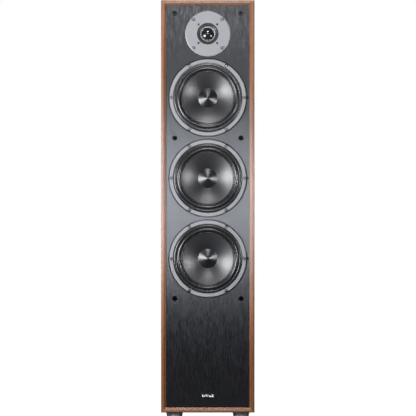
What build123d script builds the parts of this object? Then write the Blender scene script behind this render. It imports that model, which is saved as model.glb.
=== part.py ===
"""A floorstanding loudspeaker: a mitred cabinet with a recessed front baffle, three cone
woofers, a dome tweeter, a crossover, a rear reflex port and a pair of binding posts.

Millimetres. The origin is on the floor under the middle of the cabinet, +Z is up and the
front faces -Y. Each driver is drawn about its own axis, with w = 0 on the baffle's face and
w growing towards the listener, and is then stood up behind the baffle.
"""

import os
from math import asin, atan, cos, degrees, hypot, sin

from build123d import *

os.makedirs("parts", exist_ok=True)

# Cabinet
cabinet_width = 207.0
cabinet_depth = 300.0
cabinet_height = 913.0
wall = 16.0
back_thickness = 16.0
back_rebate = 6.0
border = 11.0
border_round = 3.0
bevel_width = 4.4
bevel_depth = 4.0
ease_width = 1.2
ease_depth = 0.45
baffle_recess = 5.0
baffle_thickness = 18.0

# Feet
foot_height = 17.0
foot_top_radius = 18.5
foot_bottom_radius = 16.0
foot_edge = 1.2
foot_inset_x = 29.5
foot_inset_y = 32.0
pad_thickness = 3.0
pad_radius = 14.5
foot_screw_radius = 3.0
foot_screw_head_radius = 6.5
foot_screw_head_height = 4.0
foot_screw_bite = 13.0
foot_floor = 8.0

# Heights of what the baffle carries, above the cabinet's underside
woofer_heights = {"upper": 697.5, "middle": 519.0, "lower": 340.5}
tweeter_height = 839.0
socket_heights = (884.0, 607.7, 252.5)
socket_offset = 73.4
badge_height = 36.7

# Clearances
hole_clearance = 0.25
coil_clearance = 0.4
drop_in_clearance = 1.0
thread_clearance = 0.05

# Woofer: flange, trim ring and screws
flange_radius = 85.0
flange_thickness = 4.0
trim_inner_radius = 77.0
trim_thickness = 3.0
trim_edge = 1.0
trim_groove_radius = 80.8
trim_groove_width = 0.8
trim_groove_depth = 0.4
screw_circle = 81.0
screw_count = 6
screw_hole_radius = 3.5
screw_radius = 2.0
screw_head_radius = 2.9
screw_head_height = 2.0
screw_length = 17.0
cutout_radius = 73.5

# Woofer: basket
basket_wall = 3.0
lip_ledge = 1.0
flange_inner_radius = 69.5
spider_shelf_depth = 38.5
spider_shelf_inner = 44.0
spider_shelf_outer = 49.0
motor_face_depth = 50.0
basket_foot_radius = 53.0
basket_foot_inner = 30.0
window_count = 6
window_width = 38.0
window_top_depth = 9.0
window_bottom_depth = 34.0

# Woofer: moving parts
roll_outer_radius = 69.0
roll_inner_radius = 60.2
roll_height = 4.4
surround_thickness = 1.0
lip_outer_radius = 76.8
cone_rim_inner = 56.6
cone_depth = 25.0
cone_thickness = 1.0
cone_bow_radius = 36.0
cone_bow_depth = 10.5
cap_radius = 21.5
cap_rise = 9.5
cap_thickness = 0.8
cap_pull_out = 0.55
cap_pull_up = 0.72
coil_inner_radius = 15.2
former_thickness = 0.4
winding_thickness = 0.9
winding_height = 12.0
former_above_seat = 1.29
spider_thickness = 0.8
spider_wave = 1.6
spider_waves = 4
spider_outer_radius = 48.5

# Woofer: motor
top_plate_radius = 42.0
top_plate_thickness = 6.0
magnet_radius = 46.0
magnet_inner_radius = 24.0
magnet_thickness = 18.0
yoke_radius = 42.0
yoke_thickness = 6.0
vent_radius = 5.0
tag_size = (6.0, 16.0, 9.0)

# Tweeter
faceplate_radius = 50.25
faceplate_proud = 1.0
faceplate_recess = 3.0
faceplate_edge = 2.0
faceplate_edge_fall = 0.8
mouth_radius = 24.0
throat_radius = 17.0
tweeter_cutout_radius = 40.0
tweeter_screw_circle = 44.7
tweeter_screw_count = 4
motor_screw_circle = 29.2
motor_screw_radius = 1.5
motor_screw_head_radius = 2.4
motor_screw_head_height = 1.2
dome_radius = 12.9
dome_rise = 5.0
dome_roll_radius = 14.8
dome_lip_radius = 18.0
dome_thickness = 0.4
inner_trim = (15.3, 16.9)
inner_trim_thickness = 1.2
mouth_sink = 0.4
mouth_step = 0.8
tweeter_spacer = 1.8
tweeter_gap = 0.4
tweeter_former_thickness = 0.3
tweeter_winding_thickness = 0.5
tweeter_winding_height = 2.4
tweeter_former_height = 6.5
tweeter_plate_radius = 36.0
tweeter_plate_thickness = 4.0
tweeter_magnet_radius = 36.0
tweeter_magnet_inner = 18.5
tweeter_magnet_thickness = 13.0
tweeter_yoke_thickness = 4.0

# Small wood screws: tweeter plate, terminal cup and crossover board
wood_screw_radius = 1.75
wood_screw_head_radius = 3.4
wood_screw_head_height = 2.0
wood_screw_length = 12.0

# Grille sockets and badge
socket_radius = 5.5
socket_flange = 1.0
socket_body_radius = 4.6
socket_depth = 13.0
socket_bore_radius = 3.0
socket_bore_depth = 11.0
badge_size = (30.5, 1.2, 10.0)
badge_corner = 1.0

# Reflex port
port_height = 300.0
port_bore_radius = 27.0
port_wall = 3.0
port_length = 130.0
port_flare = 10.0
port_flange_radius = 43.0
port_flange_thickness = 3.0

# Terminal cup and binding posts
terminal_height = 110.0
cup_plate = (104.0, 72.0)
cup_plate_thickness = 3.0
cup_plate_corner = 6.0
cup_mouth = (72.0, 52.0)
cup_depth = 30.0
cup_sink = 2.0
cup_wall = 2.5
cup_corner = 8.0
cup_screw_offset = (45.5, 29.0)
post_offset = 18.0
post_drop = 8.0
stud_radius = 4.0
stud_length = 25.0
stud_tail = 10.0
stud_collar_radius = 6.5
stud_collar_height = 4.0
plug_bore_radius = 2.0
plug_bore_depth = 16.0
wire_hole_radius = 1.6
washer_radius = 7.0
washer_thickness = 1.2
cap_grip_radius = 7.5
cap_grip_flute = 0.6
cap_grip_flutes = 12
cap_length = 19.5

# Braces, wool and crossover
brace_thickness = 16.0
brace_heights = (608.0, 430.0, 190.0)
brace_rim_x = 22.0
brace_rim_y = 34.0
wool_thickness = 22.0
wool_width = 150.0
wool_spans = ((626.0, 874.0), (448.0, 590.0), (352.0, 414.0))
board_size = (130.0, 160.0, 2.0)
board_centre_y = -10.0
board_screw_inset = 8.0
inductor_sizes = ((20.0, 9.0, 18.0), (16.0, 7.0, 14.0), (12.0, 5.0, 10.0))
inductor_places = ((-38.0, -55.0), (-40.0, -5.0), (-42.0, 38.0))
capacitor_sizes = ((9.0, 34.0), (8.0, 30.0), (8.0, 30.0), (6.0, 24.0))
capacitor_places = ((12.0, -52.0), (12.0, -26.0), (12.0, 0.0), (12.0, 26.0))
resistor_size = (24.0, 9.0, 9.0)
resistor_places = ((12.0, 46.0), (38.0, 46.0), (44.0, -26.0))
wire_radius = 1.8
wire_column_y = 10.0
wire_pitch = 5.0

# Worked out from the above
foot_total = foot_height + pad_thickness
cabinet_top = foot_total + cabinet_height
front = -cabinet_depth / 2
back = cabinet_depth / 2
middle_z = foot_total + cabinet_height / 2
baffle_face = front + baffle_recess
baffle_back = baffle_face + baffle_thickness
back_inside = back - back_thickness
inner_width = cabinet_width - 2 * wall
floor_inside = foot_total + wall
former_radius = coil_inner_radius + former_thickness
winding_radius = former_radius + winding_thickness
pole_radius = coil_inner_radius - coil_clearance
gap_radius = winding_radius + coil_clearance
gap_middle_depth = motor_face_depth + top_plate_thickness / 2
winding_bottom_depth = gap_middle_depth + winding_height / 2
magnet_face_depth = motor_face_depth + top_plate_thickness
yoke_face_depth = magnet_face_depth + magnet_thickness
bottom = (Align.CENTER, Align.CENTER, Align.MIN)


def save(name, *solids):
    """Write one named piece, or one group of like pieces, as a STEP file."""
    found = [s for group in solids for s in group.solids()]
    shape = found[0] if len(found) == 1 else Compound(children=found)
    shape.label = name
    export_step(shape, f"parts/{name}.step")


def block(size, centre):
    """A rectangular block of this size about this centre."""
    return Pos(*centre) * Box(*size)


def rod(radius, low, high):
    """A round rod about the local axis, from low to high."""
    return Pos(0, 0, low) * Cylinder(radius, high - low, align=bottom)


def ring(inner, outer, low, high):
    """A flat ring about the local axis."""
    return rod(outer, low, high) - rod(inner, low, high)


def turned(*edges):
    """A solid turned about the local axis from a closed outline in radius and height."""
    return revolve(Plane.XZ * make_face(Wire(list(edges))), Axis.Z)


def outline(*points):
    """Straight edges through these points."""
    return [Line(a, b) for a, b in zip(points, points[1:])]


def turned_points(*points):
    """A turned solid whose outline is all straight edges."""
    return turned(*outline(*points, points[0]))


def arc_height(first, middle, last, radius):
    """Height at this radius on the shallow arc through three points, its hollow side up."""
    (x1, y1), (x2, y2), (x3, y3) = first, middle, last
    d = 2 * (x1 * (y2 - y3) + x2 * (y3 - y1) + x3 * (y1 - y2))
    s1 = x1**2 + y1**2
    s2 = x2**2 + y2**2
    s3 = x3**2 + y3**2
    centre_x = (s1 * (y2 - y3) + s2 * (y3 - y1) + s3 * (y1 - y2)) / d
    centre_y = (s1 * (x3 - x2) + s2 * (x1 - x3) + s3 * (x2 - x1)) / d
    reach = hypot(x1 - centre_x, y1 - centre_y)
    side = 1 if y2 > centre_y else -1
    return centre_y + side * (reach**2 - (radius - centre_x) ** 2) ** 0.5


def crown(radius, base, rise):
    """The arc of a true sphere, from its top on the local axis down to its rim."""
    sphere = (radius**2 + rise**2) / (2 * rise)
    half_angle = asin(radius / sphere) / 2
    centre = base + rise - sphere
    shoulder = (sphere * sin(half_angle), centre + sphere * cos(half_angle))
    return ThreePointArc((0, base + rise), shoulder, (radius, base))


def around(count, radius, start=0.0):
    """Places on a circle about the local axis."""
    return PolarLocations(radius, count, start_angle=start)


def at_front(height):
    """Stand a driver up on the baffle's face, at this height above the cabinet's underside."""
    return Pos(0, baffle_face, foot_total + height) * Rot(90, 0, 0)


def at_back(x, height):
    """Stand a piece up on the cabinet's back, its local axis pointing out of the back."""
    return Pos(x, back, foot_total + height) * Rot(-90, 0, 0)


def screw(radius, length, head_radius, head_height, slot=True):
    """A pan-head screw, its head's underside at 0 and its tip pointing down."""
    head = rod(head_radius, 0, head_height)
    head = fillet(head.edges().group_by(Axis.Z)[-1], head_height / 2)
    body = head + rod(radius, -length, 0)
    if slot:
        bar = (head_radius, head_radius / 5, head_height / 2)
        for turn in (0, 90):
            body -= Pos(0, 0, head_height) * Rot(0, 0, turn) * Box(*bar)
    return body


# Cabinet wrap: one mitred band with a rounded outer edge and a bevel falling to the baffle
band = block((cabinet_width, cabinet_depth, cabinet_height), (0, 0, middle_z))
band = fillet(band.faces().sort_by(Axis.Y)[0].edges(), border_round)
band -= block((inner_width, cabinet_depth, cabinet_height - 2 * wall), (0, 0, middle_z))
baffle_size = (cabinet_width - 2 * border, baffle_thickness, cabinet_height - 2 * border)
recess_depth = baffle_recess + baffle_thickness
band -= block(
    (baffle_size[0], recess_depth, baffle_size[2]), (0, front + recess_depth / 2, middle_z)
)
mouth = Plane(origin=(0, front, middle_z), x_dir=(1, 0, 0), z_dir=(0, 1, 0))
bevel_slope = bevel_width / bevel_depth
ease_run = ease_width + ease_depth * bevel_slope
bevels = [
    (border - bevel_width, bevel_depth, bevel_slope),
    (border - bevel_width - ease_width, ease_depth, ease_run / ease_depth),
]
for inset, depth, slope in bevels:
    mouth_outline = mouth * Rectangle(cabinet_width - 2 * inset, cabinet_height - 2 * inset)
    band -= extrude(mouth_outline, depth, taper=degrees(atan(slope)))
back_size = (
    inner_width + 2 * back_rebate,
    back_thickness,
    cabinet_height - 2 * (wall - back_rebate),
)
back_centre = (0, back - back_thickness / 2, middle_z)
band -= block(back_size, back_centre)


def mitre(*corners):
    """A wedge of the band between two corner mitres, through the whole depth."""
    face = Plane.XZ * make_face(Polyline(*corners, close=True))
    return extrude(face, cabinet_depth, both=True)


half = cabinet_width / 2
cut = min(half, cabinet_height / 2) / 2
low_z, high_z = foot_total, cabinet_top
right = ((half, low_z), (half, high_z), (half - cut, high_z - cut), (half - cut, low_z + cut))
left = [(-x, z) for x, z in right]
top = ((-half, high_z), (half, high_z), (half - cut, high_z - cut), (cut - half, high_z - cut))
under = [(x, low_z + high_z - z) for x, z in top]

bottom_panel = band & mitre(*under)
foot_places = [
    (sx * (half - foot_inset_x), sy * (back - foot_inset_y)) for sx in (-1, 1) for sy in (-1, 1)
]
for x, y in foot_places:
    hole = rod(foot_screw_radius, foot_total, foot_total + foot_screw_bite)
    bottom_panel -= Pos(x, y, 0) * hole

# Crossover board, on the cabinet's floor
board_top = floor_inside + board_size[2]
board_screws = [
    (
        sx * (board_size[0] / 2 - board_screw_inset),
        board_centre_y + sy * (board_size[1] / 2 - board_screw_inset),
    )
    for sx in (-1, 1)
    for sy in (-1, 1)
]
board = block(board_size, (0, board_centre_y, floor_inside + board_size[2] / 2))
screw_hole = rod(wood_screw_radius, -wood_screw_length, 0)
for x, y in board_screws:
    board -= Pos(x, y, board_top) * screw_hole
    bottom_panel -= Pos(x, y, board_top) * screw_hole

save("side_panel_left", band & mitre(*left))
save("side_panel_right", band & mitre(*right))
save("top_panel", band & mitre(*top))
save("bottom_panel", bottom_panel)
save("crossover_board", board)

# Feet
foot_turned = turned_points(
    (0, pad_thickness),
    (foot_bottom_radius, pad_thickness),
    (foot_top_radius, foot_total - foot_edge * 2),
    (foot_top_radius, foot_total - foot_edge),
    (foot_top_radius - foot_edge, foot_total),
    (0, foot_total),
)
foot_turned -= rod(foot_screw_head_radius + hole_clearance, pad_thickness, foot_floor)
foot_turned -= rod(foot_screw_radius + hole_clearance, foot_floor, foot_total)
foot_pad = rod(pad_radius, 0, pad_thickness)
foot_pad = chamfer(foot_pad.edges().group_by(Axis.Z)[0], pad_thickness / 4)
foot_screw_length = foot_total + foot_screw_bite - foot_floor
foot_screw = Rot(180, 0, 0) * screw(
    foot_screw_radius, foot_screw_length, foot_screw_head_radius, foot_screw_head_height, False
)
save("foot_bodies", *[Pos(x, y, 0) * foot_turned for x, y in foot_places])
save("foot_pads", *[Pos(x, y, 0) * foot_pad for x, y in foot_places])
save("foot_screws", *[Pos(x, y, foot_floor) * foot_screw for x, y in foot_places])

# Front baffle, with a rebate and a hole for each driver, screw holes and socket holes
baffle = block(baffle_size, (0, baffle_face + baffle_thickness / 2, middle_z))
woofer_well = rod(flange_radius + drop_in_clearance, -flange_thickness, 0)
woofer_well += rod(cutout_radius, -baffle_thickness, 0)
woofer_well += around(screw_count, screw_circle) * rod(screw_radius, -screw_length, 0)
for height in woofer_heights.values():
    baffle -= at_front(height) * woofer_well
tweeter_well = rod(faceplate_radius + hole_clearance, -faceplate_recess, 0)
tweeter_well += rod(tweeter_cutout_radius, -baffle_thickness, 0)
tweeter_screws = around(tweeter_screw_count, tweeter_screw_circle, 45)
tweeter_well += tweeter_screws * rod(wood_screw_radius, faceplate_proud - wood_screw_length, 0)
baffle -= at_front(tweeter_height) * tweeter_well
socket_places = [
    Pos(side * socket_offset, 0, 0) * at_front(height)
    for height in socket_heights
    for side in (-1, 1)
]
for place in socket_places:
    baffle -= place * rod(socket_body_radius, -baffle_thickness, 0)
save("front_baffle", baffle)

# Grille sockets: flanged plastic cups pressed into the baffle
socket = rod(socket_radius, 0, socket_flange) + rod(socket_body_radius, -socket_depth, 0)
socket -= rod(socket_bore_radius, socket_flange - socket_bore_depth, socket_flange)
socket = fillet(socket.edges().group_by(Axis.Z)[-1].sort_by(SortBy.LENGTH)[-1], socket_flange / 2)
save("grille_sockets", *[place * socket for place in socket_places])

# Badge: a small plain plate with rounded corners
badge_centre = (0, baffle_face - badge_size[1] / 2, foot_total + badge_height)
badge = block(badge_size, badge_centre)
badge = fillet(badge.edges().filter_by(Axis.Y), badge_corner)
save("badge_plate", badge)

# Woofer basket: a flange on the baffle, six spokes, a shelf for the spider and a motor seat
basket = turned_points(
    (flange_radius, 0),
    (flange_radius, -flange_thickness),
    (cutout_radius - drop_in_clearance, -flange_thickness),
    (cutout_radius - drop_in_clearance, -window_top_depth + 1),
    (basket_foot_radius + 1, -window_bottom_depth - 2),
    (basket_foot_radius, -motor_face_depth),
    (basket_foot_inner, -motor_face_depth),
    (basket_foot_inner, -motor_face_depth + basket_wall),
    (spider_shelf_inner, -motor_face_depth + basket_wall),
    (spider_shelf_inner, -spider_shelf_depth),
    (spider_shelf_outer, -spider_shelf_depth),
    (flange_inner_radius, -window_top_depth + 1),
    (flange_inner_radius, -lip_ledge),
    (trim_inner_radius, -lip_ledge),
    (trim_inner_radius, 0),
)
window_height = window_bottom_depth - window_top_depth
window_middle = (window_bottom_depth + window_top_depth) / 2
window = Pos(cutout_radius, 0, -window_middle) * Box(
    2 * (cutout_radius - spider_shelf_outer), window_width, window_height
)
basket -= around(window_count, 0, 30) * window
basket -= around(screw_count, screw_circle) * rod(screw_radius + hole_clearance, -flange_thickness, 0)

# Trim ring: covers the flange, with a fine groove and a hole for each screw's head
trim = turned_points(
    (trim_inner_radius, 0),
    (flange_radius, 0),
    (flange_radius, trim_thickness - trim_edge),
    (flange_radius - trim_edge, trim_thickness),
    (trim_inner_radius + trim_edge, trim_thickness),
    (trim_inner_radius, trim_thickness - trim_edge),
)
trim -= ring(
    trim_groove_radius - trim_groove_width / 2,
    trim_groove_radius + trim_groove_width / 2,
    trim_thickness - trim_groove_depth,
    trim_thickness,
)
trim -= around(screw_count, screw_circle) * rod(screw_hole_radius, 0, trim_thickness)
notch_reach = 2 * (flange_radius - screw_circle)
notch = Pos(notch_reach / 2, 0, 0) * Box(notch_reach, 2 * screw_hole_radius, trim_thickness, align=bottom)
for first_angle in (60, 120):
    trim -= around(2, screw_circle, first_angle) * notch

# Surround: a rubber half roll between two flat lips
roll_middle = (roll_outer_radius + roll_inner_radius) / 2
lip_under = -surround_thickness
surround = turned(
    *outline((cone_rim_inner, lip_under), (cone_rim_inner, 0), (roll_inner_radius, 0)),
    ThreePointArc((roll_inner_radius, 0), (roll_middle, roll_height), (roll_outer_radius, 0)),
    *outline(
        (roll_outer_radius, 0),
        (lip_outer_radius, 0),
        (lip_outer_radius, lip_under),
        (roll_outer_radius - surround_thickness, lip_under),
    ),
    ThreePointArc(
        (roll_outer_radius - surround_thickness, lip_under),
        (roll_middle, roll_height - surround_thickness),
        (roll_inner_radius + surround_thickness, lip_under),
    ),
    Line((roll_inner_radius + surround_thickness, lip_under), (cone_rim_inner, lip_under)),
)

# Cone: a bowed paper cone with a flat rim under the surround's inner lip
rim_low = lip_under - cone_thickness
bow_top = (cone_bow_radius, -cone_bow_depth)
bow_low = (cone_bow_radius, -cone_bow_depth - cone_thickness)
neck_top = (former_radius, -cone_depth)
neck_low = (former_radius, -cone_depth - cone_thickness)
rim_top_point = (cone_rim_inner, lip_under)
cone = turned(
    Line((roll_inner_radius, lip_under), rim_top_point),
    ThreePointArc(rim_top_point, bow_top, neck_top),
    Line(neck_top, neck_low),
    ThreePointArc(neck_low, bow_low, (cone_rim_inner, rim_low)),
    *outline(
        (cone_rim_inner, rim_low), (roll_inner_radius, rim_low), (roll_inner_radius, lip_under)
    ),
)

# Dust cap: a domed, slightly pointed shell whose edge stands on the cone
cap_inner = cap_radius - cap_thickness
cap_seat = arc_height(rim_top_point, bow_top, neck_top, cap_radius)
cap_seat_inner = arc_height(rim_top_point, bow_top, neck_top, cap_inner)
cap_top = cap_seat + cap_rise
cap_pull = (cap_radius * cap_pull_out, cap_seat + cap_rise * cap_pull_up)
cap_pull_inner = (cap_pull[0] - cap_thickness, cap_pull[1] - cap_thickness)
dust_cap = turned(
    Bezier((cap_radius, cap_seat), cap_pull, (0, cap_top)),
    Line((0, cap_top), (0, cap_top - cap_thickness)),
    Bezier((0, cap_top - cap_thickness), cap_pull_inner, (cap_inner, cap_seat_inner)),
    Line((cap_inner, cap_seat_inner), (cap_radius, cap_seat)),
)

# Voice coil: a former tube with its winding centred in the magnetic gap
former_top = cap_seat_inner + former_above_seat
former = ring(coil_inner_radius, former_radius, -winding_bottom_depth - 1, former_top)
winding = ring(
    former_radius, winding_radius, -winding_bottom_depth, winding_height - winding_bottom_depth
)

# Spider: a corrugated cloth disc from the former to the basket's shelf
spider_middle = -spider_shelf_depth + spider_thickness / 2
spider_lip = spider_outer_radius - spider_shelf_inner
wave_span = (spider_shelf_inner - former_radius - 1) / (2 * spider_waves)
crests = [(former_radius, 0), (former_radius + 1, 0)]
for step in range(2 * spider_waves):
    side = 1 if step % 2 else -1
    crests.append((former_radius + 1 + wave_span * (step + 0.5), side * spider_wave))
crests += [(spider_shelf_inner, 0), (spider_shelf_inner + spider_lip, 0)]
upper_line = [(r, spider_middle + spider_thickness / 2 + rise) for r, rise in crests]
lower_line = [(r, spider_middle - spider_thickness / 2 + rise) for r, rise in crests]
spider = turned_points(*upper_line, *reversed(lower_line))

# Motor: top plate, ferrite ring and a yoke with a vented pole
top_plate = ring(gap_radius, top_plate_radius, -magnet_face_depth, -motor_face_depth)
magnet = ring(magnet_inner_radius, magnet_radius, -yoke_face_depth, -magnet_face_depth)
yoke = rod(yoke_radius, -yoke_face_depth - yoke_thickness, -yoke_face_depth)
yoke += rod(pole_radius, -yoke_face_depth, -motor_face_depth)
yoke -= rod(vent_radius, -yoke_face_depth - yoke_thickness, -motor_face_depth)
tag_middle = -motor_face_depth + tag_size[2] / 2
tag_centre = (basket_foot_radius + tag_size[0] / 2, 0, tag_middle)
terminal_tag = block(tag_size, tag_centre) - basket
woofer_screw = screw(screw_radius, screw_length, screw_head_radius, screw_head_height)

woofers = {name: at_front(height) for name, height in woofer_heights.items()}
for name, place in woofers.items():
    save(f"basket_{name}", place * basket)
    save(f"trim_ring_{name}", place * trim)
    save(f"surround_{name}", place * surround)
    save(f"cone_{name}", place * cone)
    save(f"dust_cap_{name}", place * dust_cap)
    save(f"voice_coil_{name}", place * former, place * winding)
    save(f"spider_{name}", place * spider)
places = woofers.values()
save("woofer_top_plates", *[place * top_plate for place in places])
save("woofer_magnets", *[place * magnet for place in places])
save("woofer_yokes", *[place * yoke for place in places])
save("woofer_terminals", *[place * terminal_tag for place in places])
screw_places = [place * spot for place in places for spot in around(screw_count, screw_circle)]
save("woofer_screws", *[place * woofer_screw for place in screw_places])

# Tweeter: silver faceplate, black flared mouth, fine inner trim, dome, coil and motor
tweeter = at_front(tweeter_height)
seat = -faceplate_recess - tweeter_spacer
lip_top = seat + dome_thickness
faceplate = turned_points(
    (mouth_radius, seat),
    (tweeter_plate_radius, seat),
    (tweeter_plate_radius, -faceplate_recess),
    (faceplate_radius, -faceplate_recess),
    (faceplate_radius, faceplate_proud - faceplate_edge_fall),
    (faceplate_radius - faceplate_edge, faceplate_proud),
    (mouth_radius, faceplate_proud),
)
faceplate -= tweeter_screws * rod(wood_screw_radius + hole_clearance, seat, faceplate_proud)
motor_screws = around(tweeter_screw_count, motor_screw_circle, 45)
head_pocket = faceplate_proud - motor_screw_head_height
faceplate -= motor_screws * rod(motor_screw_radius + hole_clearance, seat, faceplate_proud)
faceplate -= motor_screws * rod(
    motor_screw_head_radius + hole_clearance, head_pocket, faceplate_proud
)
mouth_low = lip_top + inner_trim_thickness
mouth_high = faceplate_proud - mouth_sink
step_radius = (throat_radius + mouth_radius) / 2
step_height = (mouth_low + mouth_high) / 2
tweeter_mouth = turned_points(
    (throat_radius, lip_top),
    (dome_lip_radius, lip_top),
    (dome_lip_radius, seat),
    (mouth_radius, seat),
    (mouth_radius, mouth_high),
    (mouth_radius - mouth_step, mouth_high),
    (step_radius + mouth_step, step_height),
    (step_radius, step_height),
    (throat_radius + mouth_step, mouth_low),
    (throat_radius, mouth_low),
)
trim_middle = sum(inner_trim) / 2
fine_trim = turned_points(
    (inner_trim[0], lip_top),
    (inner_trim[1], lip_top),
    (inner_trim[1], lip_top + inner_trim_thickness / 2),
    (trim_middle, lip_top + inner_trim_thickness),
    (inner_trim[0], lip_top + inner_trim_thickness / 2),
)
roll_rise = (dome_roll_radius - dome_radius) / 2
roll_peak = (dome_radius + roll_rise, lip_top + roll_rise)
dome_inner = dome_radius - dome_thickness
diaphragm = turned(
    Line((0, seat + dome_rise), (0, lip_top + dome_rise)),
    crown(dome_radius, lip_top, dome_rise),
    ThreePointArc((dome_radius, lip_top), roll_peak, (dome_roll_radius, lip_top)),
    *outline(
        (dome_roll_radius, lip_top),
        (dome_lip_radius, lip_top),
        (dome_lip_radius, seat),
        (dome_roll_radius - dome_thickness / 2, seat),
    ),
    ThreePointArc(
        (dome_roll_radius - dome_thickness / 2, seat),
        (roll_peak[0], roll_peak[1] - dome_thickness),
        (dome_radius + dome_thickness / 2, seat),
    ),
    Line((dome_radius + dome_thickness / 2, seat), (dome_inner, seat)),
    crown(dome_inner, seat, dome_rise),
)
tweeter_former_radius = dome_inner + dome_thickness / 2
tweeter_coil_inner = tweeter_former_radius - tweeter_former_thickness
tweeter_winding_radius = tweeter_former_radius + tweeter_winding_thickness
tweeter_gap_radius = tweeter_winding_radius + tweeter_gap
tweeter_winding_middle = seat - tweeter_plate_thickness / 2
tweeter_former = ring(
    tweeter_coil_inner, tweeter_former_radius, seat - tweeter_former_height, seat
)
tweeter_winding = ring(
    tweeter_former_radius,
    tweeter_winding_radius,
    tweeter_winding_middle - tweeter_winding_height / 2,
    tweeter_winding_middle + tweeter_winding_height / 2,
)
plate_back = seat - tweeter_plate_thickness
tweeter_plate = ring(tweeter_gap_radius, tweeter_plate_radius, plate_back, seat)
tweeter_plate -= motor_screws * rod(motor_screw_radius, plate_back, seat)
magnet_back = plate_back - tweeter_magnet_thickness
tweeter_magnet = ring(tweeter_magnet_inner, tweeter_magnet_radius, magnet_back, plate_back)
tweeter_yoke = rod(
    tweeter_plate_radius - 1, magnet_back - tweeter_yoke_thickness, magnet_back
) + rod(tweeter_coil_inner - tweeter_gap, magnet_back, seat)
motor_screw = screw(
    motor_screw_radius,
    head_pocket - plate_back,
    motor_screw_head_radius,
    motor_screw_head_height,
)
save("tweeter_faceplate", tweeter * faceplate, tweeter * fine_trim)
save("tweeter_mouth", tweeter * tweeter_mouth)
save("tweeter_diaphragm", tweeter * diaphragm)
save("tweeter_voice_coil", tweeter * tweeter_former, tweeter * tweeter_winding)
save("tweeter_top_plate", tweeter * tweeter_plate)
save("tweeter_magnet", tweeter * tweeter_magnet)
save("tweeter_yoke", tweeter * tweeter_yoke)
save(
    "tweeter_motor_screws",
    *[tweeter * spot * Pos(0, 0, head_pocket) * motor_screw for spot in motor_screws],
)

# Back panel, with its port hole, terminal cut-out and rebates
back_panel = block(back_size, back_centre)
port_place = at_back(0, port_height)
port_body_radius = port_bore_radius + port_wall
port_well = rod(port_flange_radius, -port_flange_thickness, 0)
port_well += rod(port_bore_radius + port_flare, -back_thickness, 0)
back_panel -= port_place * port_well
cup_place = at_back(0, terminal_height) * Pos(0, 0, -cup_sink)
cup_body = (cup_mouth[0] + 2 * cup_wall, cup_mouth[1] + 2 * cup_wall)
cup_well = extrude(Rectangle(*cup_body), -back_thickness)
plate_outline = RectangleRounded(*cup_plate, cup_plate_corner)
cup_well += extrude(plate_outline, -cup_plate_thickness) + extrude(plate_outline, cup_sink)
cup_screw_spots = [
    Pos(sx * cup_screw_offset[0], sz * cup_screw_offset[1], 0) for sx in (-1, 1) for sz in (-1, 1)
]
for spot in cup_screw_spots:
    cup_well += spot * screw_hole
back_panel -= cup_place * cup_well
save("back_panel", back_panel)

# Reflex port: a tube with a flared mouth flush with the back
flare_radius = port_bore_radius + port_flare
flare_bend = port_flare * (1 - 0.5**0.5)
inner_end = -port_length
port_tube = turned(
    *outline(
        (flare_radius, 0),
        (port_flange_radius, 0),
        (port_flange_radius, -port_flange_thickness),
        (flare_radius, -port_flange_thickness),
        (port_body_radius, -port_flare - port_wall),
        (port_body_radius, inner_end),
        (port_bore_radius, inner_end),
        (port_bore_radius, -port_flare),
    ),
    ThreePointArc(
        (port_bore_radius, -port_flare),
        (port_bore_radius + flare_bend, -flare_bend),
        (flare_radius, 0),
    ),
)
save("port_tube", port_place * port_tube)

# Terminal cup: a flanged plastic tray let into the back
cup = extrude(plate_outline, -cup_plate_thickness)
cup += extrude(RectangleRounded(*cup_body, cup_corner), -cup_depth - cup_wall)
cup -= extrude(RectangleRounded(*cup_mouth, cup_corner - cup_wall), -cup_depth)
post_spots = {
    "red": Pos(-post_offset, post_drop, -cup_depth),
    "black": Pos(post_offset, post_drop, -cup_depth),
}
for spot in cup_screw_spots:
    cup -= spot * rod(wood_screw_radius + hole_clearance, -cup_plate_thickness, 0)
for spot in post_spots.values():
    cup -= spot * rod(stud_radius, -cup_wall, 0)
save("terminal_cup", cup_place * cup)

# Binding posts: a drilled stud with a collar, a loose washer and a screw-down cap
stud = rod(stud_radius, -cup_wall - stud_tail, stud_length)
stud += rod(stud_collar_radius, 0, stud_collar_height)
stud -= rod(plug_bore_radius, stud_length - plug_bore_depth, stud_length)
wire_hole_height = stud_collar_height + washer_thickness + wire_hole_radius / 2
stud -= Pos(0, 0, wire_hole_height) * Rot(90, 0, 0) * Cylinder(wire_hole_radius, 4 * stud_radius)
save("binding_posts", *[cup_place * spot * stud for spot in post_spots.values()])
cap_bore = stud_radius + thread_clearance
washer_top = stud_collar_height + washer_thickness
washer = ring(cap_bore, washer_radius, stud_collar_height, washer_top)
grip = ring(cap_bore, cap_grip_radius, washer_top, washer_top + cap_length)
grip = chamfer(grip.edges().group_by(Axis.Z)[-1].sort_by(SortBy.LENGTH)[-1], cap_grip_flute)
flute = rod(cap_grip_flute, washer_top + cap_grip_flute * 2, washer_top + cap_length)
grip -= around(cap_grip_flutes, cap_grip_radius) * flute
for colour, spot in post_spots.items():
    save(f"post_washer_{colour}", cup_place * spot * washer)
    save(f"post_cap_{colour}", cup_place * spot * grip)

# Small wood screws
small_screw = screw(
    wood_screw_radius, wood_screw_length, wood_screw_head_radius, wood_screw_head_height
)
screw_spots = [tweeter * spot * Pos(0, 0, faceplate_proud) for spot in tweeter_screws]
screw_spots += [cup_place * spot for spot in cup_screw_spots]
screw_spots += [Pos(x, y, board_top) for x, y in board_screws]
save("small_wood_screws", *[spot * small_screw for spot in screw_spots])

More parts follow.
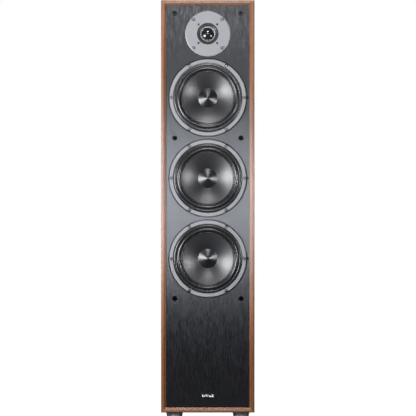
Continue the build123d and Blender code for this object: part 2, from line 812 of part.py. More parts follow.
# Braces: window frames glued inside, from the baffle to the back
brace_depth = back_inside - baffle_back
brace_y = (back_inside + baffle_back) / 2
brace = Box(inner_width, brace_depth, brace_thickness)
brace -= Box(inner_width - 2 * brace_rim_x, brace_depth - 2 * brace_rim_y, brace_thickness)
save("window_braces", *[Pos(0, brace_y, foot_total + height) * brace for height in brace_heights])

# Damping wool: sheets laid on the back panel
wool = [
    block(
        (wool_width, wool_thickness, high - low),
        (0, back_inside - wool_thickness / 2, foot_total + (low + high) / 2),
    )
    for low, high in wool_spans
]
save("damping_wool", *wool)

# Crossover parts, standing or lying on the board
inductors = [
    Pos(x, board_centre_y + y, 0) * ring(inner, outer, board_top, board_top + tall)
    for (outer, inner, tall), (x, y) in zip(inductor_sizes, inductor_places)
]
capacitors = [
    Pos(x, board_centre_y + y, board_top + radius) * Rot(0, 90, 0) * Cylinder(radius, length)
    for (radius, length), (x, y) in zip(capacitor_sizes, capacitor_places)
]
resistors = [
    block(resistor_size, (x, board_centre_y + y, board_top + resistor_size[2] / 2))
    for x, y in resistor_places
]
save("crossover_inductors", *inductors)
save("crossover_capacitors", *capacitors)
save("crossover_resistors", *resistors)

# Wiring: one twin lead from the board to each driver, and one to each binding post
tag_x = basket_foot_radius + tag_size[0] / 2
tag_y = baffle_face + motor_face_depth
lead_ends = [(tag_x, tag_y, foot_total + height) for height in woofer_heights.values()]
tweeter_tail_y = baffle_face - magnet_back + tweeter_yoke_thickness
lead_ends.append((0, tweeter_tail_y, foot_total + tweeter_height))
leads = []
for number, (x, y, z) in enumerate(lead_ends):
    column = wire_column_y + number * wire_pitch
    start = (tag_x, column, board_top)
    if x == tag_x:
        route = [start, (tag_x, column, z), (x, y, z)]
    else:
        route = [start, (tag_x, column, z), (x, column, z), (x, y, z)]
    runs = [(Vector(*b) - Vector(*a)).length for a, b in zip(route, route[1:])]
    bends = [0.45 * min(pair) for pair in zip(runs, runs[1:])]
    path = FilletPolyline(*route, radius=bends)
    leads.append(sweep(Plane(path @ 0, z_dir=path % 0) * Circle(wire_radius), path))
for side in (-1, 1):
    tail_x = side * post_offset
    tail_y = back - cup_sink - cup_depth - cup_wall - stud_tail
    tail_z = foot_total + terminal_height - post_drop
    landing_y = board_centre_y + board_size[1] / 2 - 2 * board_screw_inset
    route = [
        (tail_x, tail_y, tail_z),
        (tail_x, landing_y, tail_z),
        (tail_x, landing_y, board_top),
    ]
    bend = 0.45 * min(tail_y - landing_y, tail_z - board_top)
    path = FilletPolyline(*route, radius=bend)
    leads.append(sweep(Plane(path @ 0, z_dir=path % 0) * Circle(wire_radius), path))
save("internal_wiring", *leads)
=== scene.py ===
"""A floorstanding speaker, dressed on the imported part's own frame, in metres.

The sections follow the speaker as it is put together: cabinet, baffle, woofers, tweeter and
front fittings, then the back and what is inside, and last the studio."""

import math

import bpy
import numpy as np
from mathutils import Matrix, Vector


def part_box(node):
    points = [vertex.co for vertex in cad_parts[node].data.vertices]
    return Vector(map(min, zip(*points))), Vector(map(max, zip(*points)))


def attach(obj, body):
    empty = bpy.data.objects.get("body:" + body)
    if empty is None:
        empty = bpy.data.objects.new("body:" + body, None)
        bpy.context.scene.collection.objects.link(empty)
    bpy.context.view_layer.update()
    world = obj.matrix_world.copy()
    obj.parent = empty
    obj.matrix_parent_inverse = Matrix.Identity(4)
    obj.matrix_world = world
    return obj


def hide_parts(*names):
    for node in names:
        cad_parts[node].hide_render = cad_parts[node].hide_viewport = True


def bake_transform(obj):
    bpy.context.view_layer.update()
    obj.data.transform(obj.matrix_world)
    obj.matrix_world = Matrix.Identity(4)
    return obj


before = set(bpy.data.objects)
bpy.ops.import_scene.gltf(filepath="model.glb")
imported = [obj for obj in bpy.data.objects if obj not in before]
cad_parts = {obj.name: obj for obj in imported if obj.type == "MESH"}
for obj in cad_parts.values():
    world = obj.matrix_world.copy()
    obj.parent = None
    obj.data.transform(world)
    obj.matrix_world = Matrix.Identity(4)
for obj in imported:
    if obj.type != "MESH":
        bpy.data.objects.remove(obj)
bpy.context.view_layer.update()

# ---- Cabinet sides, top and bottom
# Fibreboard panels mitred and glued into a wrap, under a printed walnut-grain foil with a satin
# lacquer. Their front edges make the bevelled border that stands proud of the baffle.
mm = 0.001
UP = "Z"
ACROSS = "X"


def node(material, kind, *inputs, **settings):
    """Adds a shader node. Each of inputs is a socket's name and its value, or what feeds it."""
    made = material.node_tree.nodes.new("ShaderNode" + kind)
    for key, value in settings.items():
        setattr(made, key, value)
    for socket, value in inputs:
        if isinstance(value, bpy.types.NodeSocket):
            material.node_tree.links.new(value, made.inputs[socket])
        else:
            made.inputs[socket].default_value = value
    return made


def new_finish(name, roughness, metallic=0.0, **even):
    """A material and its shader. What is the same all over is set on the shader's own sockets."""
    material = bpy.data.materials.new(name)
    material.use_nodes = True
    shader = material.node_tree.nodes["Principled BSDF"]
    shader.inputs["Roughness"].default_value = roughness
    shader.inputs["Metallic"].default_value = metallic
    for key, value in even.items():
        shader.inputs[key.replace("_", " ")].default_value = value
    return material, shader


def feed(material, source, shader, socket):
    """Runs a node's output into one of the shader's sockets."""
    material.node_tree.links.new(source, shader.inputs[socket])


def place_on(material, stretch):
    """The surface's own position, scaled by so many features a metre on each axis."""
    where = node(material, "TexCoord")
    return node(
        material,
        "Mapping",
        ("Vector", where.outputs["Object"]),
        ("Scale", stretch),
    ).outputs["Vector"]


def cloud(material, stretch, detail=4.0, rough=0.55, bend=0.0):
    """A noise from 0 to 1, with so many features a metre on each axis."""
    made = node(
        material,
        "TexNoise",
        ("Vector", place_on(material, stretch)),
        ("Scale", 1.0),
        ("Detail", detail),
        ("Roughness", rough),
        ("Distortion", bend),
    )
    return made.outputs["Fac"]


def between(material, factor, low, high, start=0.3, stop=0.7):
    """A number that goes from low to high as factor goes from start to stop."""
    made = node(
        material,
        "MapRange",
        ("Value", factor),
        ("From Min", start),
        ("From Max", stop),
        ("To Min", low),
        ("To Max", high),
    )
    return made.outputs["Result"]


def shades(material, factor, *stops):
    """A colour ramp: each stop is a place from 0 to 1 and a colour."""
    made = node(material, "ValToRGB", ("Fac", factor))
    ramp = made.color_ramp
    while len(ramp.elements) < len(stops):
        ramp.elements.new(0.5)
    for element, (place, colour) in zip(ramp.elements, stops):
        element.position = place
        element.color = (*colour, 1)
    return made.outputs["Color"]


def relief(material, shader, height, depth):
    """Raises the surface by up to depth where height is 1."""
    bump = node(
        material,
        "Bump",
        ("Height", height),
        ("Distance", depth),
        ("Strength", 1.0),
    )
    feed(material, bump.outputs["Normal"], shader, "Normal")


def sum_of(material, first, second, share):
    """A blend of two numbers, with this share of the second."""
    made = node(
        material,
        "Mix",
        ("Factor", share),
        ("A", first),
        ("B", second),
    )
    return made.outputs["Result"]


def long_grain(along, length, width):
    """Features a metre on each axis for streaks that run along one axis."""
    return tuple(1 / length if axis == along else 1 / width for axis in "XYZ")


def combed(material, shader, along):
    """Spreads the gloss across the grain, as fine lines that run along one axis do."""
    lines = node(material, "Tangent", direction_type="RADIAL", axis=along)
    feed(material, lines.outputs["Tangent"], shader, "Tangent")


def dress(name, material):
    """Gives one of the part's own nodes its finish."""
    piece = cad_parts[name]
    piece.data.materials.clear()
    piece.data.materials.append(material)
    return piece


def walnut(name, along):
    """Walnut-grain foil: broad figure, growth lines and short dark pores, under satin lacquer."""
    material, shader = new_finish(name, 0.44, Anisotropic=0.90, Specular_IOR_Level=0.7, IOR=1.55)
    combed(material, shader, along)
    figure = cloud(material, long_grain(along, 0.24, 0.016), 3.0, 0.5, 0.6)
    lines = cloud(material, long_grain(along, 0.3, 0.0028), 5.0, 0.6, 0.2)
    pores = cloud(material, long_grain(along, 0.022, 0.0006), 2.0, 0.5)
    wood = shades(
        material,
        sum_of(material, figure, lines, 0.55),
        (0.30, (0.080, 0.026, 0.008)),
        (0.50, (0.170, 0.064, 0.022)),
        (0.70, (0.275, 0.118, 0.046)),
    )
    pore_dark = node(
        material,
        "Mix",
        ("Factor", between(material, pores, 0.75, 0.0, 0.34, 0.44)),
        ("A", wood),
        ("B", (0.030, 0.012, 0.007, 1)),
        data_type="RGBA",
    )
    feed(material, pore_dark.outputs["Result"], shader, "Base Color")
    feed(material, between(material, lines, 0.39, 0.48), shader, "Roughness")
    relief(material, shader, sum_of(material, lines, pores, 0.5), 0.06 * mm)
    return material


walnut_upright = walnut("walnut_foil_upright", UP)
walnut_across = walnut("walnut_foil_across", ACROSS)
for panel in ("side_panel_left", "side_panel_right"):
    dress(panel, walnut_upright)
for panel in ("top_panel", "bottom_panel"):
    dress(panel, walnut_across)

# ---- Front baffle
# A board under black ash-grain foil, set back inside the walnut border. The foil's fine upright
# lines spread its gloss sideways, so it shines at mid height and falls off up and down.


COOL_GLOSS = (0.90, 0.92, 1.0, 1.0)


def ash(name, roughness, gloss, comb):
    """Black ash-grain foil: upright lines in slightly lighter and darker black."""
    material, shader = new_finish(
        name, roughness, Anisotropic=comb, Specular_IOR_Level=gloss, Specular_Tint=COOL_GLOSS
    )
    combed(material, shader, UP)
    streaks = cloud(material, long_grain(UP, 0.022, 0.0034), 4.0, 0.65, 0.15)
    fine = cloud(material, long_grain(UP, 0.010, 0.0010), 3.0, 0.6)
    both = sum_of(material, streaks, fine, 0.45)
    black = shades(
        material,
        both,
        (0.30, (0.001, 0.001, 0.001)),
        (0.70, (0.008, 0.008, 0.010)),
    )
    feed(material, black, shader, "Base Color")
    feed(material, between(material, both, roughness - 0.20, roughness + 0.15), shader, "Roughness")
    relief(material, shader, both, 0.30 * mm)
    return material


black_foil = ash("black_ash_foil", 0.45, 1.0, 0.95)
dress("front_baffle", black_foil)

# ---- Woofer baskets and motors
# Black-coated pressed steel frames screwed into the baffle's wells. Behind each one sit a plated
# top plate, a ferrite ring magnet and a vented yoke, and a tag board for the leads.
WOOFERS = ("upper", "middle", "lower")


def mottled(name, dark, light, roughness, swing, size, depth, metallic=0.0, **even):
    """A finish whose colour, gloss and height vary with one noise. size is a feature's, by axis."""
    material, shader = new_finish(name, roughness, metallic, **even)
    stretch = tuple(1 / side for side in size) if isinstance(size, tuple) else (1 / size,) * 3
    spots = cloud(material, stretch)
    feed(material, shades(material, spots, (0.3, dark), (0.7, light)), shader, "Base Color")
    gloss = between(material, spots, roughness - swing, roughness + swing)
    feed(material, gloss, shader, "Roughness")
    relief(material, shader, spots, depth)
    return material


powder_coat = mottled(
    "black_powder_coat", (0.004, 0.004, 0.004), (0.010, 0.010, 0.011), 0.42, 0.06, 0.7 * mm, 0.03 * mm,
    Specular_IOR_Level=0.2,
)
zinc_plate = mottled(
    "zinc_plate", (0.42, 0.43, 0.45), (0.60, 0.61, 0.63), 0.32, 0.08, 2.0 * mm, 0.01 * mm, 1.0
)
ferrite = mottled(
    "ferrite_ceramic", (0.020, 0.020, 0.022), (0.055, 0.055, 0.060), 0.55, 0.10, 1.2 * mm, 0.05 * mm
)
laminate = mottled(
    "green_laminate", (0.03, 0.09, 0.05), (0.06, 0.15, 0.08), 0.45, 0.05, (0.6 * mm, 3 * mm, 0.6 * mm),
    0.02 * mm,
)
for woofer in WOOFERS:
    dress(f"basket_{woofer}", powder_coat)
dress("woofer_top_plates", zinc_plate)
dress("woofer_yokes", zinc_plate)
dress("woofer_magnets", ferrite)
dress("woofer_terminals", laminate)

# ---- Woofer trim rings and screws
# A ring in satin silver paint covers each frame, with a fine turned groove and six screw holes,
# four of them open to its edge. A plated pan-head screw in each one holds the frame.
satin_silver = mottled(
    "satin_silver", (0.200, 0.202, 0.215), (0.240, 0.242, 0.258), 0.55, 0.03, 0.5 * mm, 0.006 * mm, 0.35
)
bright_plate = mottled(
    "bright_plate", (0.12, 0.12, 0.14), (0.20, 0.20, 0.22), 0.34, 0.06, 0.8 * mm, 0.01 * mm, 1.0
)
for woofer in WOOFERS:
    dress(f"trim_ring_{woofer}", satin_silver)
dress("woofer_screws", bright_plate)

# ---- Woofer surrounds
# A moulded rubber ring between frame and cone: a flat gasket bead outside, a half roll that
# bends as the cone moves, and a thin lip glued on the cone's rim.
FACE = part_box("front_baffle")[0].y


def arch(inner, outer, base, height, steps=16):
    """Points over a half-ellipse from one radius to another, in (radius, depth)."""
    middle = (inner + outer) / 2
    half = (outer - inner) / 2
    turns = [math.pi * step / steps for step in range(steps + 1)]
    return [(middle - half * math.cos(a), base + height * math.sin(a)) for a in turns]


def lathe(name, profile, axis_x, axis_z, material, turns=160):
    """Spins a closed profile of (radius, height above the baffle) millimetres about a line
    that faces the listener."""
    points = [(r * mm, w * mm) for r, w in profile]
    vertices = []
    rows = []
    for r, w in points:
        if r < 1e-7:
            rows.append([len(vertices)] * turns)
            vertices.append((axis_x, FACE - w, axis_z))
            continue
        rows.append(list(range(len(vertices), len(vertices) + turns)))
        for step in range(turns):
            angle = 2 * math.pi * step / turns
            vertices.append(
                (axis_x + r * math.cos(angle), FACE - w, axis_z + r * math.sin(angle))
            )
    faces = []
    for here, there in zip(rows, rows[1:] + rows[:1]):
        for step in range(turns):
            after = (step + 1) % turns
            corners = [here[step], there[step], there[after], here[after]]
            ring = list(dict.fromkeys(corners))
            if len(ring) > 2:
                faces.append(ring)
    mesh = bpy.data.meshes.new(name)
    mesh.from_pydata(vertices, [], faces)
    mesh.validate()
    mesh.shade_smooth()
    mesh.set_sharp_from_angle(angle=math.radians(38))
    mesh.materials.append(material)
    piece = bpy.data.objects.new(name, mesh)
    bpy.context.scene.collection.objects.link(piece)
    return piece


def centre_of(name):
    """Where a round node's axis crosses the front, as x and z."""
    low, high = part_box(name)
    return (low.x + high.x) / 2, (low.z + high.z) / 2


def flex(piece):
    """Bakes the ring's placement into its mesh."""
    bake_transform(piece)


rubber = mottled(
    "surround_rubber", (0.006, 0.006, 0.007), (0.012, 0.012, 0.014), 0.26, 0.04, 1.5 * mm, 0.01 * mm,
    Specular_IOR_Level=0.6,
)
ROLL = (60.2, 69.0)
ROLL_HEIGHT = 4.4
surround_line = [(56.7, -1.0), (56.7, -0.4)]
surround_line += arch(56.7, 58.9, -0.4, 0.9, 8)[1:]
surround_line += [(59.4, -0.3)]
surround_line += arch(*ROLL, 0.0, ROLL_HEIGHT, 24)
surround_line += arch(69.9, 75.4, 0.0, 1.5, 16)
surround_line += [(75.8, 0.0), (76.7, 0.0), (76.7, -1.0), (ROLL[1] - 0.6, -1.0)]
surround_line += reversed(arch(ROLL[0] + 1.0, ROLL[1] - 1.0, -1.0, ROLL_HEIGHT, 24))
surround_line += [(ROLL[0] + 0.6, -1.0)]
for woofer in WOOFERS:
    x, z = centre_of(f"surround_{woofer}")
    roll = lathe(f"rubber_surround_{woofer}", surround_line, x, z, rubber)
    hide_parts(f"surround_{woofer}")
    flex(roll)

# ---- Woofer painted shadow rings and dots
# A thin near-black ring round each silver ring is painted shadow: the shade line where the
# ring meets the baffle. At its right-hand side a small round near-black dot is painted shadow too.
painted_shadow_black = mottled(
    "painted_shadow_black", (0.001, 0.001, 0.001), (0.003, 0.003, 0.003), 0.70, 0.05, 0.8 * mm, 0.01 * mm,
    Specular_IOR_Level=0.2,
)
SHADOW_DOT_OUT = 88.2
SHADOW_DOT_TURNS = 32
shadow_ring_line = [(86.3, 0.0), (86.3, 0.15), (86.5, 0.25), (87.1, 0.25), (87.3, 0.15), (87.3, 0.0)]
shadow_dot_line = [(2.5, 0.0), (2.5, 0.30), (2.2, 0.45), (1.6, 0.50), (1.2, 0.40), (0.0, 0.35), (0.0, 0.0)]
for woofer in WOOFERS:
    x, z = centre_of(f"trim_ring_{woofer}")
    shadow_ring = lathe(f"painted_shadow_ring_{woofer}", shadow_ring_line, x, z, painted_shadow_black)
    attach(shadow_ring, "cabinet")
    # The dot of painted shadow stands at the right-hand side only.
    shadow_dot_x = x + SHADOW_DOT_OUT * mm
    shadow_dot = lathe(
        f"painted_shadow_dot_{woofer}", shadow_dot_line, shadow_dot_x, z, painted_shadow_black, SHADOW_DOT_TURNS
    )
    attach(shadow_dot, "cabinet")

# ---- Woofer cones
# Pressed pulp cones, bowed towards the listener and coated dark graphite, glued to the surround
# at the rim and to the voice coil at the neck.


def through(first, middle, last, steps=32):
    """Points on the arc that starts at first, passes middle and ends at last."""
    (ax, ay), (bx, by), (cx, cy) = first, middle, last
    d = 2 * (ax * (by - cy) + bx * (cy - ay) + cx * (ay - by))
    a2, b2, c2 = ax * ax + ay * ay, bx * bx + by * by, cx * cx + cy * cy
    ox = (a2 * (by - cy) + b2 * (cy - ay) + c2 * (ay - by)) / d
    oy = (a2 * (cx - bx) + b2 * (ax - cx) + c2 * (bx - ax)) / d
    radius = math.hypot(ax - ox, ay - oy)
    start = math.atan2(ay - oy, ax - ox)
    sweep = math.atan2(cy - oy, cx - ox) - start
    sweep = (sweep + math.pi) % (2 * math.pi) - math.pi
    turns = [start + sweep * step / steps for step in range(steps + 1)]
    return [(ox + radius * math.cos(a), oy + radius * math.sin(a)) for a in turns]


pulp = mottled(
    "graphite_pulp", (0.008, 0.008, 0.010), (0.018, 0.018, 0.022), 0.40, 0.04, 1.0 * mm, 0.02 * mm,
    Specular_IOR_Level=0.75,
)
CONE_RIM = (56.6, -1.0)
CONE_BOW = (36.0, -10.5)
CONE_NECK = (15.6, -25.0)
CONE_THICKNESS = 1.0
cone_line = [(60.2, -1.0)]
cone_line += through(CONE_RIM, CONE_BOW, CONE_NECK, 48)
lower_arc = through(CONE_RIM, CONE_BOW, CONE_NECK, 48)
cone_line += [(r, w - CONE_THICKNESS) for r, w in reversed(lower_arc)]
cone_line += [(60.2, -1.0 - CONE_THICKNESS)]
for woofer in WOOFERS:
    x, z = centre_of(f"cone_{woofer}")
    cone = lathe(f"pulp_cone_{woofer}", cone_line, x, z, pulp)
    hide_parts(f"cone_{woofer}")
    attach(cone, f"woofer_{woofer}_cone")

# ---- Woofer dust caps
# A glossy black moulded cap on each cone, domed with a slight point in the middle, closes off the
# voice coil. Its rim is glued to the cone.


def curve(first, pull, last, steps=24):
    """Points on the curve from first to last, drawn towards pull."""
    made = []
    for step in range(steps + 1):
        t = step / steps
        a, b, c = (1 - t) ** 2, 2 * t * (1 - t), t * t
        made.append(tuple(a * p + b * q + c * s for p, q, s in zip(first, pull, last)))
    return made


gloss_black = mottled(
    "gloss_black_cap", (0.004, 0.004, 0.005), (0.008, 0.008, 0.009), 0.32, 0.02, 9.0 * mm, 0.005 * mm,
    Specular_IOR_Level=0.5,
)
CAP_RADIUS = 21.5
CAP_SEAT = -20.17
CAP_RISE = 9.5
CAP_PULL = (CAP_RADIUS * 0.5, CAP_SEAT + CAP_RISE * 0.58)
CAP_THICKNESS = 0.8
cap_top = (0.0, CAP_SEAT + CAP_RISE)
cap_line = curve((CAP_RADIUS, CAP_SEAT), CAP_PULL, cap_top, 32)
cap_line += [
    (max(r - CAP_THICKNESS, 0.0), w - CAP_THICKNESS) for r, w in reversed(cap_line)
]
for woofer in WOOFERS:
    x, z = centre_of(f"dust_cap_{woofer}")
    cap = lathe(f"gloss_dust_cap_{woofer}", cap_line, x, z, gloss_black)
    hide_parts(f"dust_cap_{woofer}")
    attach(cap, f"woofer_{woofer}_cone")

# ---- Woofer voice coils and spiders
# Each coil is enamelled copper wire wound on a thin tube. A corrugated, resin-dipped cloth disc
# holds it in the middle of the gap.


def wound(name, light, dark, axis, pitch):
    """Turns of enamelled wire: fine bands of light and shade across one axis."""
    material, shader = new_finish(name, 0.28, 1.0)
    turns = node(
        material,
        "TexWave",
        ("Vector", place_on(material, (1.0, 1.0, 1.0))),
        ("Scale", 0.05 / pitch),
        ("Distortion", 0.4),
        bands_direction=axis,
    ).outputs["Fac"]
    feed(material, shades(material, turns, (0.1, dark), (0.8, light)), shader, "Base Color")
    relief(material, shader, turns, 0.3 * pitch)
    return material


COPPER = (0.70, 0.30, 0.16)
COPPER_SHADE = (0.25, 0.09, 0.04)
coil_wire = wound("coil_wire", COPPER, COPPER_SHADE, "Y", 0.4 * mm)
amber_cloth = mottled(
    "amber_spider_cloth", (0.42, 0.27, 0.08), (0.62, 0.43, 0.17), 0.75, 0.05, 0.6 * mm, 0.08 * mm,
    Sheen_Weight=0.3,
)
SPIDER_WAVES = 4
SPIDER_INNER = 15.6
SPIDER_STILL = 44.0
SPIDER_OUTER = 48.5
spider_face = []
for step in range(SPIDER_WAVES * 12 + 1):
    share = step / (SPIDER_WAVES * 12)
    r = SPIDER_INNER + 1 + (SPIDER_STILL - SPIDER_INNER - 1) * share
    spider_face.append((r, -38.0 - 1.6 * math.sin(2 * math.pi * SPIDER_WAVES * share)))
spider_face = [(SPIDER_INNER, -38.0)] + spider_face + [(SPIDER_OUTER, -38.0)]
spider_line = spider_face + [(r, w - 0.5) for r, w in reversed(spider_face)]
for woofer in WOOFERS:
    dress(f"voice_coil_{woofer}", coil_wire)
    x, z = centre_of(f"spider_{woofer}")
    disc = lathe(f"cloth_spider_{woofer}", spider_line, x, z, amber_cloth, 96)
    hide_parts(f"spider_{woofer}")
    flex(disc)

# ---- Tweeter faceplate, mouth and motor
# A turned plate in the same satin silver holds a black flared mouth and a fine inner ring. Four
# wood screws hold it to the baffle, and four small black ones hold the motor behind it.
moulded_black = mottled(
    "moulded_black_plastic", (0.012, 0.012, 0.012), (0.020, 0.020, 0.021), 0.38, 0.05, 0.5 * mm,
    0.02 * mm,
)
black_plate = mottled(
    "black_plated_steel", (0.015, 0.015, 0.016), (0.035, 0.035, 0.037), 0.35, 0.06, 0.8 * mm, 0.01 * mm,
    0.8,
)
gunmetal = mottled(
    "gunmetal_plate", (0.05, 0.05, 0.06), (0.10, 0.10, 0.11), 0.32, 0.06, 0.8 * mm, 0.01 * mm, 0.9
)
dress("tweeter_faceplate", satin_silver)
dress("tweeter_mouth", moulded_black)
dress("tweeter_motor_screws", black_plate)
dress("tweeter_top_plate", zinc_plate)
dress("tweeter_yoke", zinc_plate)
dress("tweeter_magnet", ferrite)
dress("tweeter_voice_coil", coil_wire)
dress("small_wood_screws", gunmetal)

# ---- Tweeter dome
# A small silk dome, doped to a soft gloss, with a fine roll that lets it move and a flat lip
# glued under the plate.
doped_silk = mottled(
    "doped_silk", (0.008, 0.008, 0.009), (0.014, 0.014, 0.015), 0.16, 0.04, 0.35 * mm, 0.006 * mm,
    Coat_Weight=0.4,
)
DOME_RADIUS = 12.9
DOME_RISE = 5.0
DOME_BASE = -4.4
DOME_ROLL = 14.8
DOME_LIP = 18.0
DOME_THICKNESS = 0.4
ball = (DOME_RADIUS**2 + DOME_RISE**2) / (2 * DOME_RISE)
opening = math.asin(DOME_RADIUS / ball)
dome_face = []
for step in range(33):
    angle = opening * step / 32
    height = DOME_BASE + DOME_RISE - ball * (1 - math.cos(angle))
    dome_face.append((ball * math.sin(angle), height))
dome_face += arch(DOME_RADIUS, DOME_ROLL, DOME_BASE, 0.95, 12)[1:]
dome_face += [(DOME_LIP, DOME_BASE)]
dome_line = dome_face + [(r, w - DOME_THICKNESS) for r, w in reversed(dome_face)]
x, z = centre_of("tweeter_diaphragm")
dome = lathe("silk_dome", dome_line, x, z, doped_silk, 128)
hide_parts("tweeter_diaphragm")
flex(dome)

# ---- Grille sockets and badge
# Six black plastic cups pressed into the baffle take the grille's pegs. The badge is a small
# black-anodised plate with raised bars in brushed metal, stuck on near the bottom.
badge_metal = mottled(
    "black_anodised_badge", (0.003, 0.003, 0.004), (0.008, 0.008, 0.009), 0.45, 0.06,
    (6.0 * mm, 1.0 * mm, 0.25 * mm), 0.01 * mm, 0.3,
)
socket_black = mottled(
    "socket_black_plastic", (0.001, 0.001, 0.001), (0.003, 0.003, 0.003), 0.30, 0.04, 0.5 * mm, 0.01 * mm,
    Specular_IOR_Level=0.12,
)
dress("grille_sockets", socket_black)
dress("badge_plate", badge_metal)
low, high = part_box("badge_plate")
badge_x = (low.x + high.x) / 2
badge_z = (low.z + high.z) / 2
BAR_FACE = low.y
BAR_EDGE = 0.25 * mm
BAR_ROOT = -0.02 * mm
BAR_WALL = 0.12 * mm
BAR_TOP = 0.20 * mm
BADGE_BARS = (
    (-12.5, -9.5, -2.6, 2.6),
    (-8.0, -6.8, -2.6, 2.6),
    (-5.3, -1.2, -0.9, 2.6),
    (0.3, 1.5, -2.6, 2.6),
    (3.0, 7.4, -2.6, 0.9),
    (8.9, 12.5, -2.6, 2.6),
)
bar_vertices = []
bar_faces = []
for left, right, bottom, top in BADGE_BARS:
    start = len(bar_vertices)
    for inset, rise in ((0.0, BAR_ROOT), (0.0, BAR_WALL), (BAR_EDGE, BAR_TOP)):
        for x, z in ((left, bottom), (right, bottom), (right, top), (left, top)):
            side = inset if x == left else -inset
            lift = inset if z == bottom else -inset
            corner = (badge_x + x * mm + side, BAR_FACE - rise, badge_z + z * mm + lift)
            bar_vertices.append(corner)
    for step in range(4):
        after = (step + 1) % 4
        for row in (0, 4):
            one = start + row + step
            two = start + row + after
            bar_faces.append((one, two, two + 4, one + 4))
    bar_faces.append(tuple(start + 8 + step for step in range(4)))
    bar_faces.append(tuple(start + 3 - step for step in range(4)))
bar_metal = mottled(
    "brushed_bar_metal", (0.60, 0.61, 0.63), (0.80, 0.81, 0.84), 0.45, 0.06,
    (0.25 * mm, 1.0 * mm, 4.0 * mm), 0.01 * mm, 0.3,
)
bars_mesh = bpy.data.meshes.new("badge_bars")
bars_mesh.from_pydata(bar_vertices, [], bar_faces)
bars_mesh.materials.append(bar_metal)
badge_bars = bpy.data.objects.new("badge_bars", bars_mesh)
bpy.context.scene.collection.objects.link(badge_bars)
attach(badge_bars, "cabinet")

# ---- Feet
# Turned feet in satin plated metal, tapering down to a rubber pad, each held by a screw up
# through its middle.
turned_metal = mottled(
    "satin_turned_metal", (0.62, 0.63, 0.65), (0.86, 0.87, 0.90), 0.42, 0.08,
    (40.0 * mm, 40.0 * mm, 0.3 * mm), 0.01 * mm, 0.45,
)
pad_rubber = mottled(
    "pad_rubber", (0.012, 0.012, 0.012), (0.030, 0.030, 0.030), 0.75, 0.06, 0.8 * mm, 0.04 * mm
)
dress("foot_bodies", turned_metal)
dress("foot_pads", pad_rubber)
dress("foot_screws", zinc_plate)

# ---- Back panel, port and terminal cup
# The back is a board under matt black foil, let into the wrap. It carries a flared plastic
# reflex port and a plastic cup that holds the binding posts.
back_foil = ash("matt_back_foil", 0.62, 0.4, 0.5)
dress("back_panel", back_foil)
dress("port_tube", moulded_black)
dress("terminal_cup", moulded_black)

# ---- Binding posts
# Gold-plated brass studs, drilled for plugs, each with a loose washer and a screw-down cap in
# clear red or black plastic.
gilt = mottled(
    "gilt_brass", (0.72, 0.48, 0.18), (0.88, 0.64, 0.28), 0.20, 0.05, 1.2 * mm, 0.006 * mm, 1.0
)
red_cap = mottled(
    "red_cap_plastic", (0.32, 0.006, 0.006), (0.48, 0.012, 0.010), 0.18, 0.04, 3.0 * mm, 0.01 * mm,
    Coat_Weight=0.5,
)
black_cap = mottled(
    "black_cap_plastic", (0.008, 0.008, 0.008), (0.020, 0.020, 0.020), 0.20, 0.04, 3.0 * mm, 0.01 * mm,
    Coat_Weight=0.5,
)
dress("binding_posts", gilt)
for colour, plastic in (("red", red_cap), ("black", black_cap)):
    dress(f"post_washer_{colour}", gilt)
    dress(f"post_cap_{colour}", plastic)

# ---- Braces and wool
# Bare fibreboard window frames glued across the cabinet stop the walls from ringing. Sheets of
# polyester wool on the back panel damp the air.
fibreboard = mottled(
    "bare_fibreboard", (0.34, 0.22, 0.12), (0.52, 0.38, 0.24), 0.8, 0.05, 1.5 * mm, 0.08 * mm
)
polyester = mottled(
    "polyester_wool", (0.55, 0.55, 0.52), (0.82, 0.82, 0.79), 0.9, 0.04, 5.0 * mm, 1.2 * mm,
    Sheen_Weight=0.5,
)
dress("window_braces", fibreboard)
dress("damping_wool", polyester)

# ---- Crossover and wiring
# A laminate board on the cabinet's floor carries air-cored copper inductors, wrapped film
# capacitors and cement resistors. Twin leads run up to the drivers and back to the posts.
choke_wire = wound("choke_wire", COPPER, COPPER_SHADE, "Z", 1.2 * mm)
yellow_film = mottled(
    "yellow_wrapped_film", (0.50, 0.34, 0.05), (0.66, 0.48, 0.11), 0.3, 0.05, 4.0 * mm, 0.03 * mm
)
white_cement = mottled(
    "white_cement", (0.62, 0.61, 0.57), (0.80, 0.79, 0.75), 0.85, 0.05, 1.0 * mm, 0.08 * mm
)
red_jacket = mottled(
    "red_wire_jacket", (0.20, 0.02, 0.015), (0.34, 0.04, 0.03), 0.45, 0.05, 3.0 * mm, 0.03 * mm
)
dress("crossover_board", laminate)
dress("crossover_inductors", choke_wire)
dress("crossover_capacitors", yellow_film)
dress("crossover_resistors", white_cement)
dress("internal_wiring", red_jacket)

# ---- Studio
# A pale floor and backdrop. Soft lights stand close in on the left and right at mid height, with
# one above, one high in front and one behind. The camera is straight in front, far off.
scene = bpy.context.scene
scene.view_settings.view_transform = "Standard"


def seen_only(tree, seen, unseen):
    """Mixes two shaders, so that the first is what is looked at and the second what lights."""
    path = tree.nodes.new("ShaderNodeLightPath")
    mix = tree.nodes.new("ShaderNodeMixShader")
    tree.links.new(path.outputs["Is Camera Ray"], mix.inputs[0])
    tree.links.new(unseen.outputs[0], mix.inputs[1])
    tree.links.new(seen.outputs[0], mix.inputs[2])
    return mix


def glow(tree, kind, colour, strength):
    """A background or emission node of one colour."""
    made = tree.nodes.new(kind)
    made.inputs["Color"].default_value = (*colour, 1)
    made.inputs["Strength"].default_value = strength
    return made


world = bpy.data.worlds.new("studio_air")
scene.world = world
world.use_nodes = True
tree = world.node_tree
tree.nodes.clear()
backdrop = glow(tree, "ShaderNodeBackground", (1.0, 1.0, 1.0), 1.0)
room = glow(tree, "ShaderNodeBackground", (0.9, 0.95, 1.0), 0.03)
air_out = tree.nodes.new("ShaderNodeOutputWorld")
tree.links.new(seen_only(tree, backdrop, room).outputs[0], air_out.inputs["Surface"])

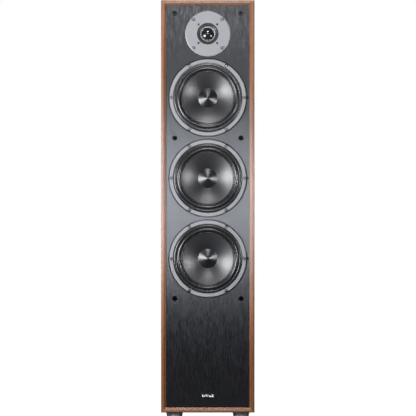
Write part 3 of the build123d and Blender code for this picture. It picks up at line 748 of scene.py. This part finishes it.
FLOOR_HALF = 6.0
floor_mesh = bpy.data.meshes.new("studio_floor")
corners = [(-FLOOR_HALF, -FLOOR_HALF), (FLOOR_HALF, -FLOOR_HALF)]
corners += [(FLOOR_HALF, FLOOR_HALF), (-FLOOR_HALF, FLOOR_HALF)]
floor_mesh.from_pydata([(x, y, 0.0) for x, y in corners], [], [(0, 1, 2, 3)])
floor = bpy.data.objects.new("studio_floor", floor_mesh)
scene.collection.objects.link(floor)
pale, paint = new_finish("pale_floor", 0.9)
paint.inputs["Base Color"].default_value = (0.03, 0.03, 0.03, 1)
tree = pale.node_tree
floor_glow = glow(tree, "ShaderNodeEmission", (1.0, 1.0, 1.0), 1.0)
lit_twice = tree.nodes.new("ShaderNodeAddShader")
tree.links.new(paint.outputs[0], lit_twice.inputs[0])
tree.links.new(floor_glow.outputs[0], lit_twice.inputs[1])
floor_out = tree.nodes["Material Output"]
tree.links.new(seen_only(tree, lit_twice, paint).outputs[0], floor_out.inputs["Surface"])
floor_mesh.materials.append(pale)


def softbox(name, width, height, place, aim, power, colour=(1.0, 1.0, 1.0)):
    """A rectangular soft light at a place, turned to face a point."""
    lamp = bpy.data.lights.new(name, "AREA")
    lamp.shape = "RECTANGLE"
    lamp.size = width
    lamp.size_y = height
    lamp.energy = power
    lamp.color = colour
    light = bpy.data.objects.new(name, lamp)
    scene.collection.objects.link(light)
    light.location = place
    direction = light.location - type(light.location)(aim)
    light.rotation_mode = "QUATERNION"
    light.rotation_quaternion = direction.to_track_quat("Z", "Y")
    light.visible_camera = False
    return light


SIDE_AIM = (0.0, FACE, 0.5)
softbox("left_softbox", 0.4, 0.40, (-0.62, -0.72, 0.50), SIDE_AIM, 13.5, (0.96, 0.98, 1.0))
softbox("right_softbox", 0.14, 0.26, (0.62, -0.70, 0.50), SIDE_AIM, 4.6, (0.98, 0.98, 1.0))
softbox("top_softbox", 0.3, 0.2, (0.0, -0.85, 1.35), (0.0, FACE, 0.6), 5)
softbox("front_softbox", 0.4, 0.3, (0.0, -2.8, 1.22), (0.0, FACE, 0.8), 14)
softbox("back_softbox", 2.4, 2.0, (0.6, 2.4, 1.6), (0.0, 0.15, 0.5), 34)

camera_data = bpy.data.cameras.new("front_camera")
camera_data.sensor_width = 36
camera_data.lens = 195.5
camera_data.clip_end = 50
camera = bpy.data.objects.new("front_camera", camera_data)
scene.collection.objects.link(camera)
camera.location = (0.00044, -5.15, 0.4729)
camera.rotation_euler = (math.pi / 2, 0, 0)
scene.camera = camera
